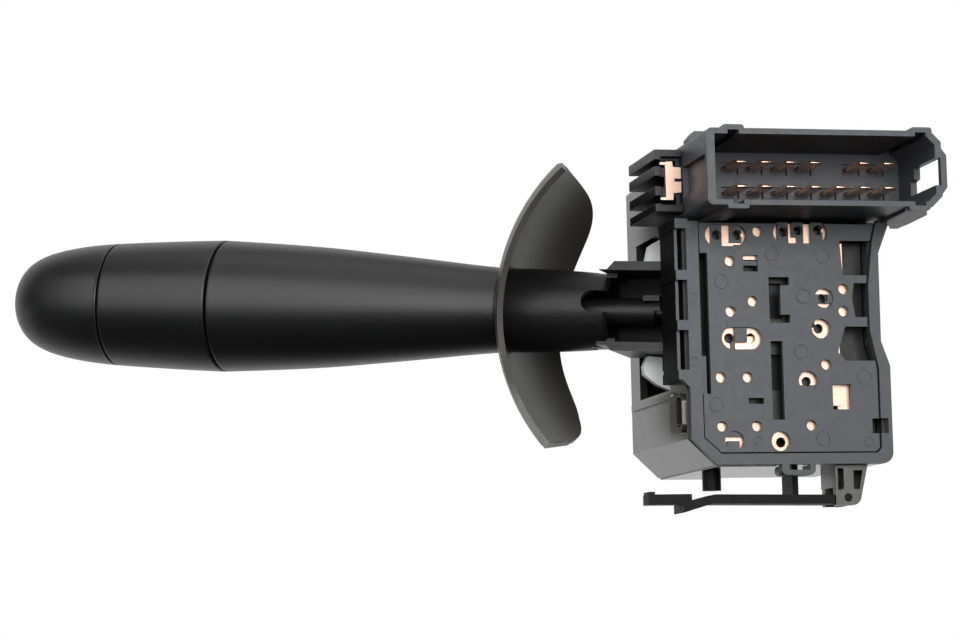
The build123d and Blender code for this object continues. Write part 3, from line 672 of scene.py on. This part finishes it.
class Finish(Enum):
    """The finishes that the pieces of the switch wear."""

    GRIP = MouldedPlastic(
        "grip_satin_black", (0.0032, 0.0033, 0.0036), (0.0046, 0.0047, 0.0051), (0.36, 0.42),
        grain_scale=4200.0, grain_depth=0.006, wave_scale=60.0, wave_depth=0.0,
    )
    SHIELD = MouldedPlastic(
        "shield_satin", (0.026, 0.0245, 0.0215), (0.034, 0.032, 0.028), (0.38, 0.46),
        grain_scale=4200.0, grain_depth=0.006, wave_scale=60.0, wave_depth=0.02,
    )
    HOUSING = MouldedPlastic(
        "housing_black_nylon", (0.019, 0.018, 0.0155), (0.034, 0.031, 0.025), (0.20, 0.28),
        grain_scale=3600.0, grain_depth=0.006, wave_scale=120.0, wave_depth=0.02,
    )
    PLATE = MouldedPlastic(
        "plate_black_plastic", (0.034, 0.0365, 0.0425), (0.048, 0.0505, 0.056), (0.42, 0.54),
        grain_scale=6500.0, grain_depth=0.012, wave_scale=140.0, wave_depth=0.02,
    )
    DARK_PART = MouldedPlastic(
        "inner_black_nylon", (0.005, 0.005, 0.0052), (0.009, 0.009, 0.009), (0.34, 0.48),
        grain_scale=3600.0, grain_depth=0.006, wave_scale=160.0, wave_depth=0.02, specular=0.3,
    )
    # The latch's black nylon; also laid as painted shade on the fork's far wall, the faces under the floor and
    # the rack's sides and pockets.
    LATCH_AND_SHADE = MouldedPlastic(
        "latch_nylon_and_painted_shade", (0.004, 0.004, 0.0042), (0.008, 0.008, 0.008), (0.45, 0.58),
        grain_scale=3600.0, grain_depth=0.006, wave_scale=160.0, wave_depth=0.02, specular=0.12,
    )
    WHITE_PART = MouldedPlastic(
        "white_nylon", (0.72, 0.735, 0.735), (0.66, 0.67, 0.665), (0.36, 0.48),
        grain_scale=2600.0, grain_depth=0.010, wave_scale=120.0, wave_depth=0.02,
    )
    COPPER = StampedCopper("stamped_copper", (0.66, 0.455, 0.355), (0.38, 0.21, 0.13), (0.30, 0.46), 0.55)
    BLADE = StampedCopper("blade_copper", (0.80, 0.50, 0.37), (0.62, 0.36, 0.25), (0.22, 0.30), 0.9)
    STEEL = StampedCopper("plain_steel", (0.60, 0.60, 0.60), (0.42, 0.42, 0.42), (0.25, 0.4), 0.95)


class Paintbox:
    """Builds each finish once and puts it on pieces."""

    def __init__(self) -> None:
        """Starts with no finish built."""
        self._made: dict[Finish, bpy.types.Material] = {}

    def material(self, finish: Finish) -> bpy.types.Material:
        """The material of a finish, built the first time it is asked for."""
        if finish not in self._made:
            self._made[finish] = finish.value.build()
        return self._made[finish]

    def dress(self, piece: bpy.types.Object, finish: Finish) -> None:
        """Gives a piece one finish all over.

        Args:
            piece: the object to dress.
            finish: the finish that it gets.
        """
        piece.data.materials.clear()
        piece.data.materials.append(self.material(finish))
        for face in piece.data.polygons:
            face.material_index = 0

    def darker(self, piece: bpy.types.Object, chosen: Callable[[bpy.types.MeshPolygon], bool]) -> None:
        """Gives some faces of a dressed piece the dark, dull latch nylon, as painted shade.

        Args:
            piece: the moulding.
            chosen: tells which faces get it.
        """
        # painted shade: the chosen faces get the latch's dark nylon
        piece.data.materials.append(self.material(Finish.LATCH_AND_SHADE))
        for face in piece.data.polygons:
            if chosen(face):
                face.material_index = 1


@dataclass
class Workshop:
    """What every sub-assembly needs: the frame, the finishes and the stalk's axes."""

    frame: dict
    paint: Paintbox = field(default_factory=Paintbox)
    line: StalkLine = field(default_factory=StalkLine)

    def fit(self, piece: bpy.types.Object, body: str, slot: str, finish: Finish, node: str) -> bpy.types.Object:
        """Dresses a finished piece and fixes it to its body.

        Args:
            piece: the object, in place.
            body: the body that it moves with.
            slot: the record's material slot; not used.
            finish: the finish that it wears.
            node: the solid that it stands for.

        Returns:
            The same object.
        """
        self.paint.dress(piece, finish)
        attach(piece, body)
        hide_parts(node)
        log.info("piece %s on %s: %d faces", piece.name, body, len(piece.data.polygons))
        return piece

    def soften(self, node: str, body: str, slot: str, finish: Finish, rounding: float) -> bpy.types.Object:
        """Replaces a solid with a copy whose edges are rounded as a moulding's are.

        Args:
            node: the solid's name.
            body: the body that it moves with.
            slot: the record's material slot.
            finish: the finish that it wears.
            rounding: the width of the rounded edges in millimetres.

        Returns:
            The new piece.
        """
        piece = copy_of_solid(self.frame, node)
        round_edges(piece, rounding)
        return self.fit(piece, body, slot, finish, node)


# ------------------------------------------------------------------ sub-assemblies


@dataclass
class StalkGrip:
    """The tapered sleeve, the rotary ring with its tube and the end knob with its rod.

    Each outline gives distances along the stalk and radii. Each bore goes back inside the outline, from
    its last point to its first.
    """

    shop: Workshop
    seam: float = 0.25
    seam_corner: float = 0.3
    tube_cut: float = 30.0
    tube_rounding: float = 0.1
    hard_deg: float = 30.0
    sleeve: tuple[Pair, ...] = (
        (41.6, 8.66), (49.0, 9.35), (57.6, 10.3), (67.0, 11.28), (77.3, 12.3), (85.0, 12.88), (93.0, 13.36),
        (102.0, 13.8),
    )
    sleeve_bore: tuple[Pair, ...] = (
        (102.0, 6.7), (98.0, 6.7), (98.0, 11.4), (57.6, 8.2), (44.0, 6.7), (41.6, 6.7),
    )
    ring: tuple[Pair, ...] = ((102.5, 13.85), (111.0, 13.64), (120.0, 13.3), (126.75, 13.0))
    ring_bore: tuple[Pair, ...] = ((126.75, 11.4), (105.5, 11.7), (104.5, 10.7), (104.5, 1.56))
    tube_radii: Pair = (1.56, 2.8)
    dome: tuple[Pair, ...] = (
        (127.1, 12.97), (131.0, 12.68), (135.5, 12.15), (140.0, 11.3), (143.6, 10.2), (146.6, 8.55),
        (148.7, 6.2), (149.8, 3.4), (150.2, 0.0),
    )
    dome_bore: tuple[Pair, ...] = (
        (8.0, 0.0), (8.0, 1.5), (106.0, 1.5), (106.0, 3.2), (139.0, 3.2), (141.5, 6.0), (136.5, 9.2),
        (128.0, 9.7), (118.0, 9.7), (118.0, 10.9), (127.1, 10.9),
    )

    def outer(self, points: Sequence[Pair], first: bool, last: bool) -> list[Pair]:
        """An outer line with its ends rounded where it meets a seam.

        Args:
            points: the line's points.
            first: whether the first end is rounded.
            last: whether the last end is rounded.

        Returns:
            The line from first to last.
        """
        run = through(points)
        gap, corner = self.seam, self.seam * self.seam_corner
        if first:
            start, radius = run[0]
            run = [(start, radius - gap), (start + corner, radius - corner), (start + gap, radius)] + run[1:]
        if last:
            end, radius = run[-1]
            run = run[:-1] + [(end - gap, radius), (end - corner, radius - corner), (end, radius - gap)]
        return run

    def fit_turned(self, name: str, profile: Sequence[Pair], body: str, node: str) -> None:
        """Turns one piece of the grip and fits it.

        Args:
            name: the piece's name.
            profile: its whole section.
            body: the body that it moves with.
            node: the solid that it stands for.
        """
        piece = turned(name, profile, self.shop.line)
        smooth(piece, self.hard_deg)
        self.shop.fit(piece, body, "satin_black", Finish.GRIP, node)

    def build(self) -> None:
        """Builds and fits the sleeve, the ring, the end of the ring's tube and the knob."""
        inside, outside = self.tube_radii
        sleeve = self.outer(self.sleeve, False, True) + [*self.sleeve_bore]
        tube = [(self.tube_cut, inside), (self.tube_cut, outside), (self.ring[0][0], outside)]
        ring = self.outer(self.ring, True, True) + [*self.ring_bore, *tube]
        knob = self.outer(self.dome, True, False) + [*self.dome_bore]
        self.fit_turned("stalk_sleeve_grip", sleeve, "lever", "stalk_sleeve")
        self.fit_turned("rotary_ring_grip", ring, "ring", "rotary_ring")
        solid = copy_of_solid(self.shop.frame, "rotary_ring")
        tube_end = cut_off(solid, "ring_tube_end", self.shop.line, self.tube_cut)
        round_edges(tube_end, self.tube_rounding)
        self.shop.fit(tube_end, "ring", "satin_black", Finish.DARK_PART, "rotary_ring")
        self.fit_turned("end_knob_grip", knob, "knob", "end_knob")


@dataclass
class Shield:
    """The curved shield: a piece of a sphere centred on the pivot.

    Each rim gives heights and reaches across, rising in height. The near rim ends at a corner, from which
    a straight edge runs to the top.
    """

    shop: Workshop
    radius: float = 42.0
    thickness: float = 1.2
    back_deg: float = 32.0
    rows: int = 72
    columns: int = 48
    rim_rounding: float = 0.3
    near_rim: tuple[Pair, ...] = (
        (-28.4, 14.4), (-18.5, 16.4), (-9.0, 18.9), (8.0, 21.8), (18.0, 22.5), (26.9, 22.6),
    )
    top_reach: float = 7.0
    far_rim: tuple[Pair, ...] = (
        (-28.4, 9.0), (-27.7, -1.0), (-26.6, -10.0), (-24.4, -15.0), (-20.7, -17.3), (-16.9, -18.1),
        (-8.0, -18.0), (3.0, -18.9), (14.0, -19.8), (20.8, -18.6), (25.5, -14.1), (28.4, -6.2), (29.7, 2.2),
    )

    @staticmethod
    def reach(rim: Sequence[Pair], height: float) -> float:
        """Reads a rim's reach at a height.

        Args:
            rim: pairs of height and reach, rising in height.
            height: the height to read.

        Returns:
            The reach there, in millimetres.
        """
        for (low, first), (high, second) in zip(rim, rim[1:]):
            if height <= high:
                share = max(0.0, (height - low) / (high - low))
                return first + (second - first) * share
        return rim[-1][1]

    def build(self) -> None:
        """Builds the shell from a grid on the sphere and fits it."""
        line = StalkLine(self.shop.line.pivot, self.back_deg, self.shop.line.rise_deg)
        far_rim, near_rim = through(self.far_rim), through(self.near_rim)
        bottom, top = self.far_rim[0][0], self.far_rim[-1][0]
        corner, corner_reach = self.near_rim[-1]
        grid: list[list[Vector]] = []
        for row in range(self.rows + 1):
            height = bottom + (top - bottom) * row / self.rows
            far, near = self.reach(far_rim, height), self.reach(near_rim, height)
            if height > corner:
                near = corner_reach - (height - corner) * (corner_reach - self.top_reach) / (top - corner)
            places = []
            for column in range(self.columns + 1):
                across = far + (near - far) * column / self.columns
                forward = math.sqrt(self.radius**2 - across**2 - height**2)
                places.append(line.at(forward, across, height))
            grid.append(places)
        piece = shell("shield_shell", grid, grid[0][0] - line.at(0.0), self.thickness)
        round_edges(piece, self.rim_rounding, 3, 50.0)
        smooth(piece, 40.0)
        self.shop.fit(piece, "lever", "shield_plastic", Finish.SHIELD, "shield")


@dataclass
class LeverCore:
    """The neck with its fork, softened from the solid, and the gimbal that it turns on.

    The neck's slot is longer in the solid, so a skin shuts its far end. The skin's curve is read from the
    neck itself, by rays that pass just above the slot.
    """

    shop: Workshop
    slot_rise: float = 1.4
    slot_radius: float = 2.2
    slot_end: float = 24.8
    slot_shut: float = 3.4
    skin_thickness: float = 1.4
    skin_overlap: float = 0.02
    skin_sunk: float = 0.01
    skin_rows: int = 24
    skin_columns: int = 10
    ray_above: float = 0.9
    ray_start: float = 15.0
    neck_near: float = 6.0
    web_side: float = -3.0
    web_facing: float = 0.8
    pieces: tuple[tuple[str, str, Finish, float], ...] = (
        ("gimbal_block", "black_nylon", Finish.DARK_PART, 0.2), ("fork_pins", "steel", Finish.STEEL, 0.2),
        ("nylon_cam", "white_nylon", Finish.WHITE_PART, 0.2),
    )

    def slot_skin(self, core: bpy.types.Object) -> bpy.types.Object:
        """Makes the skin that shuts the slot's far end, so that the slot has its real length.

        Args:
            core: the neck and fork.

        Returns:
            The skin, flush with the neck.
        """
        line = self.shop.line
        above = self.slot_rise + self.slot_radius + self.ray_above
        grid: list[list[Vector]] = []
        for row in range(self.skin_rows + 1):
            angle = math.pi * (row / self.skin_rows - 0.5)
            height = self.slot_rise + (self.slot_radius + self.skin_overlap) * math.sin(angle)
            reach = self.slot_end + self.slot_radius * math.cos(angle)
            places = []
            for column in range(self.skin_columns + 1):
                distance = reach + self.skin_overlap - self.slot_shut * column / self.skin_columns
                hit, place, _, _ = core.ray_cast(line.at(distance, self.ray_start, above), -line.near)
                near = (place - line.at(distance)).dot(line.near) / MM if hit else self.neck_near
                radius = math.hypot(near, above)
                places.append(line.at(distance, math.sqrt(radius**2 - height**2) - self.skin_sunk, height))
            grid.append(places)
        skin = shell("neck_slot_end", grid, line.near, self.skin_thickness)
        smooth(skin, 40.0)
        return skin

    def in_web(self, face: bpy.types.MeshPolygon) -> bool:
        """Whether a face is the far wall inside the fork, where painted shade goes."""
        line = self.shop.line
        near = (face.center - line.at(0.0)).dot(line.near)
        return face.normal.dot(line.near) > self.web_facing and near < self.web_side * MM

    def build(self) -> None:
        """Fits the neck and fork, with painted shade on the fork's far inner wall, the skin on its slot, the
        gimbal, its pins and the white cam.
        """
        core = self.shop.soften("lever_core", "lever", "black_nylon", Finish.DARK_PART, 0.25)
        # painted shade: the far wall inside the fork gets the darker latch nylon
        self.shop.paint.darker(core, self.in_web)
        bpy.context.view_layer.update()
        self.shop.fit(self.slot_skin(core), "lever", "black_nylon", Finish.DARK_PART, "lever_core")
        for node, slot, finish, rounding in self.pieces:
            self.shop.soften(node, "gimbal", slot, finish, rounding)


@dataclass
class Housing:
    """The housing's mouldings: shell, front border, terminal plate, shroud, comb and latch."""

    shop: Workshop
    underside: float = -30.5
    bracket_side: float = 9.9
    rack_side: float = -19.75
    front_facing: float = -0.5
    mouldings: tuple[tuple[str, str, str, Finish, float], ...] = (
        ("main_housing", "housing", "black_nylon", Finish.HOUSING, 0.2),
        ("front_frame", "housing", "black_nylon", Finish.PLATE, 0.15),
        ("terminal_plate", "housing", "plate_plastic", Finish.PLATE, 0.1),
        ("connector_shroud", "housing", "plate_plastic", Finish.PLATE, 0.18),
        ("side_comb", "housing", "black_nylon", Finish.DARK_PART, 0.15),
        ("bearing_plate", "housing", "black_nylon", Finish.DARK_PART, 0.15),
        ("latch_arm", "latch", "black_nylon", Finish.LATCH_AND_SHADE, 0.2),
        ("latch_pin", "housing", "black_nylon", Finish.LATCH_AND_SHADE, 0.15),
        ("contact_slider", "slider", "black_nylon", Finish.DARK_PART, 0.15),
        ("detent_track", "housing", "white_nylon", Finish.WHITE_PART, 0.15),
        ("detent_plunger", "plunger", "white_nylon", Finish.WHITE_PART, 0.15),
    )

    def under_floor(self, face: bpy.types.MeshPolygon) -> bool:
        """Whether a face hangs under the floor, left of the latch's bracket, where painted shade goes."""
        return face.center.z < self.underside * MM and face.center.x < self.bracket_side * MM

    def in_rack(self, face: bpy.types.MeshPolygon) -> bool:
        """Whether a face is a side or a pocket of the ribbed rack on the left border, where painted shade goes.
        """
        return face.center.x < self.rack_side * MM and face.normal.y > self.front_facing

    def build(self) -> None:
        """Softens and fits each moulding, with painted shade on the faces under the floor and on the rack's
        sides and pockets.
        """
        # painted shade: faces under the floor and the rack's sides and pockets get the darker latch nylon
        painted_shade_masks = {"main_housing": self.under_floor, "front_frame": self.in_rack}
        for node, body, slot, finish, rounding in self.mouldings:
            piece = self.shop.soften(node, body, slot, finish, rounding)
            if node in painted_shade_masks:
                self.shop.paint.darker(piece, painted_shade_masks[node])


@dataclass
class Contacts:
    """The stamped copper, which is tracks, blades, the side contact and the bridges, and the steel spring."""

    shop: Workshop
    parts: tuple[tuple[str, str], ...] = (
        ("track_upper_left", "housing"), ("track_right", "housing"), ("track_centre", "housing"),
        ("track_lower", "housing"), ("track_corner", "housing"), ("side_contact", "housing"),
        ("slider_bridges", "slider"),
    )
    stamped_rounding: float = 0.08
    first_blade: float = 8.1
    blade_count: int = 7
    blade_pitch: float = 5.0
    blade_width: float = 2.8
    blade_thickness: float = 0.8
    blade_rounding: float = 0.07
    tip_depth: float = -4.0
    tip_thickness: float = 0.26
    tip_taper: float = 0.9
    tip_inset: float = 0.45
    foot_depth: float = 6.6
    foot_drop: float = 2.2
    foot_thickness: float = 0.8
    rows: tuple[tuple[str, str, float, int], ...] = (
        ("upper_blades", "upper_pins", 28.3, 4), ("lower_blades", "lower_pins", 23.5, -1),
    )
    spring_seat: Triple = (13.9, 20.75, 1.6)
    spring_keep: float = 0.73

    def blade(self, name: str, height: float) -> bpy.types.Object:
        """Makes the first blade of a row: a strip with a coined tip and a foot turned down behind the floor.

        Args:
            name: the row's name.
            height: the height of the row's middle.

        Returns:
            The blade, in place.
        """
        half, thin, coin = self.blade_width / 2, self.blade_thickness / 2, self.tip_thickness / 2
        tip, neck = self.tip_depth, self.tip_depth + self.tip_taper
        foot, heel = self.foot_depth, self.foot_depth + self.foot_thickness
        side = [
            (tip, height - coin), (neck, height - thin), (foot, height - thin), (foot, height - self.foot_drop),
            (heel, height - self.foot_drop), (heel, height + thin), (neck, height + thin), (tip, height + coin),
        ]
        bm = bmesh.new()
        edges = []
        for across, inset in ((-half, self.tip_inset), (half, -self.tip_inset)):
            edges.append([
                bm.verts.new(datum(self.first_blade + across + (inset if depth == tip else 0.0), depth, level))
                for depth, level in side
            ])
        left, right = edges
        bm.faces.new(left)
        bm.faces.new(reversed(right))
        for i, corner in enumerate(left):
            after = (i + 1) % len(left)
            bm.faces.new((left[after], corner, right[i], right[after]))
        bmesh.ops.recalc_face_normals(bm, faces=bm.faces)
        piece = mesh_from(name, bm)
        round_edges(piece, self.blade_rounding)
        return piece

    def build(self) -> None:
        """Lays out the blades, softens and fits each stamping, and fits the detent spring."""
        copper = self.shop.paint.material(Finish.BLADE)
        for name, node, height, skipped in self.rows:
            row = Row(self.blade_count, (self.blade_pitch, 0.0, 0.0), skipped)
            piece = row.repeat(self.blade(name, height), copper)
            self.shop.fit(piece, "housing", "copper", Finish.BLADE, node)
        for node, body in self.parts:
            self.shop.soften(node, body, "copper", Finish.COPPER, self.stamped_rounding)
        self.spring()

    def spring(self) -> None:
        """Fits the detent's spring and gives it a mesh of its own; nothing here shortens it as the plunger goes
        in.
        """
        piece = copy_of_solid(self.shop.frame, "detent_spring")
        smooth(piece, 35.0)
        self.shop.fit(piece, "gimbal", "steel", Finish.STEEL, "detent_spring")
        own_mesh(piece)


# ------------------------------------------------------------------ studio


@dataclass(frozen=True)
class Lamp:
    """A soft square lamp, in metres and watts."""

    name: str
    place: Triple
    aim: Triple
    size: float
    power: float

    def hang(self) -> None:
        """Adds the lamp to the scene."""
        data = bpy.data.lights.new(self.name, "AREA")
        data.size = self.size
        data.energy = self.power
        lamp = bpy.data.objects.new(self.name, data)
        bpy.context.scene.collection.objects.link(lamp)
        lamp.location = self.place
        lamp.rotation_mode = "QUATERNION"
        lamp.rotation_quaternion = (Vector(self.aim) - Vector(self.place)).to_track_quat("-Z", "Y")


@dataclass
class Studio:
    """Camera, room, floor, backdrop and soft lamps."""

    camera_place: Triple = (-150.03, -517.17, -63.05)
    yaw_deg: float = 11.65
    pitch_deg: float = 6.57
    roll_deg: float = 1.22
    lens: float = 105.0
    sensor: float = 36.0
    clip: Pair = (0.01, 20.0)
    room: Pair = (0.01, 0.12)
    room_heights: Pair = (-0.2, 0.9)
    white_depths: Pair = (0.07, 0.24)
    floor_height: float = -150.0
    half_width: float = 2.5
    front: float = -1.6
    back: float = 0.9
    top: float = 1.6
    pale: float = 0.8
    dark: float = 0.03
    lamps: tuple[Lamp, ...] = (
        Lamp("main_lamp", (-0.62, -0.58, 0.28), (-0.05, 0.0, 0.0), 0.85, 6.0),
        Lamp("front_lamp", (0.08, -0.85, 0.16), (-0.02, 0.0, 0.0), 0.45, 4.8),
        Lamp("left_lamp", (-0.26, -0.84, 0.10), (-0.02, 0.0, 0.0), 0.35, 2.4),
        Lamp("top_lamp", (-0.05, -0.15, 0.75), (-0.05, 0.0, 0.0), 0.80, 2.4),
        Lamp("fill_lamp", (0.45, -0.50, 0.55), (0.0, 0.0, 0.0), 0.50, 1.6),
    )

    def camera(self) -> None:
        """Sets the camera at the viewing angle."""
        data = bpy.data.cameras.new("studio_camera")
        data.lens = self.lens
        data.sensor_width = self.sensor
        data.clip_start, data.clip_end = self.clip
        camera = bpy.data.objects.new("studio_camera", data)
        bpy.context.scene.collection.objects.link(camera)
        turn = (
            Matrix.Rotation(math.radians(-self.yaw_deg), 4, "Z")
            @ Matrix.Rotation(math.radians(90.0 + self.pitch_deg), 4, "X")
            @ Matrix.Rotation(math.radians(-self.roll_deg), 4, "Z")
        )
        camera.matrix_world = Matrix.Translation(datum(*self.camera_place)) @ turn
        bpy.context.scene.camera = camera

    @staticmethod
    def seen(chain: NodeChain) -> tuple[bpy.types.NodeSocket, bpy.types.NodeSocket]:
        """Adds the tests for what looks at a surface of the stage.

        Args:
            chain: the helper of the material or world.

        Returns:
            A socket that is 1 for the camera, and one that is 1 for reflections and what is seen through.
        """
        path = chain.add("ShaderNodeLightPath")
        mirrored = chain.combine("MAXIMUM", path.outputs["Is Glossy Ray"], path.outputs["Is Transmission Ray"])
        return path.outputs["Is Camera Ray"], mirrored

    def world(self) -> None:
        """Builds a dim room that shows plain white to the camera, a little brighter overhead than below."""
        world = bpy.data.worlds.new("studio_world")
        world.use_nodes = True
        bpy.context.scene.world = world
        chain = NodeChain(world)
        camera, _ = self.seen(chain)
        glow = chain.span(chain.place("Generated", "Z"), *self.room, *self.room_heights)
        background = chain.tree.nodes["Background"]
        background.inputs["Color"].default_value = (1.0, 1.0, 1.0, 1.0)
        chain.link(chain.combine("MAXIMUM", glow, camera), background.inputs["Strength"])

    def panel(self, name: str, corners: Sequence[Triple], glow: bool) -> None:
        """Adds a flat panel of the stage: pale to the camera, white in reflections from its rear part on.

        Args:
            name: the panel's name.
            corners: its four corners in metres.
            glow: whether it shows as plain white to the camera too.
        """
        bm = bmesh.new()
        bm.faces.new([bm.verts.new(corner) for corner in corners])
        panel = mesh_from(name, bm)
        material = bpy.data.materials.new(name)
        material.use_nodes = True
        chain = NodeChain(material)
        camera, mirrored = self.seen(chain)
        paint = chain.tree.nodes["Principled BSDF"]
        paint.inputs["Base Color"].default_value = (self.pale, self.pale, self.pale, 1.0)
        paint.inputs["Roughness"].default_value = 0.9
        paint.inputs["Specular IOR Level"].default_value = 0.0
        dark = chain.add("ShaderNodeBsdfDiffuse", Color=(self.dark, self.dark, self.dark, 1.0)).outputs["BSDF"]
        white = chain.add("ShaderNodeEmission", Color=(1.0, 1.0, 1.0, 1.0), Strength=1.0).outputs["Emission"]
        rear = chain.span(chain.place("Object", "Y"), 0.0, 1.0, *self.white_depths)
        unseen = chain.mix(chain.combine("MULTIPLY", rear, mirrored), dark, white)
        surface = chain.mix(camera, unseen, white if glow else paint.outputs["BSDF"])
        chain.link(surface, chain.tree.nodes["Material Output"].inputs["Surface"])
        panel.data.materials.append(material)

    def build(self) -> None:
        """Sets the camera, the room, the stage and the lamps."""
        bpy.context.scene.view_settings.view_transform = "Standard"
        self.camera()
        self.world()
        left, right, low = -self.half_width, self.half_width, self.floor_height * MM
        rear_left, rear_right = (left, self.back, low), (right, self.back, low)
        floor = ((left, self.front, low), (right, self.front, low), rear_right, rear_left)
        backdrop = (rear_left, rear_right, (right, self.back, self.top), (left, self.back, self.top))
        self.panel("pale_floor", floor, False)
        self.panel("pale_backdrop", backdrop, True)
        for lamp in self.lamps:
            lamp.hang()


def main(frame: dict) -> None:
    """Builds the whole visual model.
    """
    shop = Workshop(frame)
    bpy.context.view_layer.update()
    for part in (StalkGrip(shop), Shield(shop), LeverCore(shop), Housing(shop), Contacts(shop)):
        part.build()
        log.info("built %s", type(part).__name__)
    Studio().build()


logging.basicConfig(level=logging.INFO, format="%(message)s")
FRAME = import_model()

if __name__ == "__main__":
    main(FRAME)
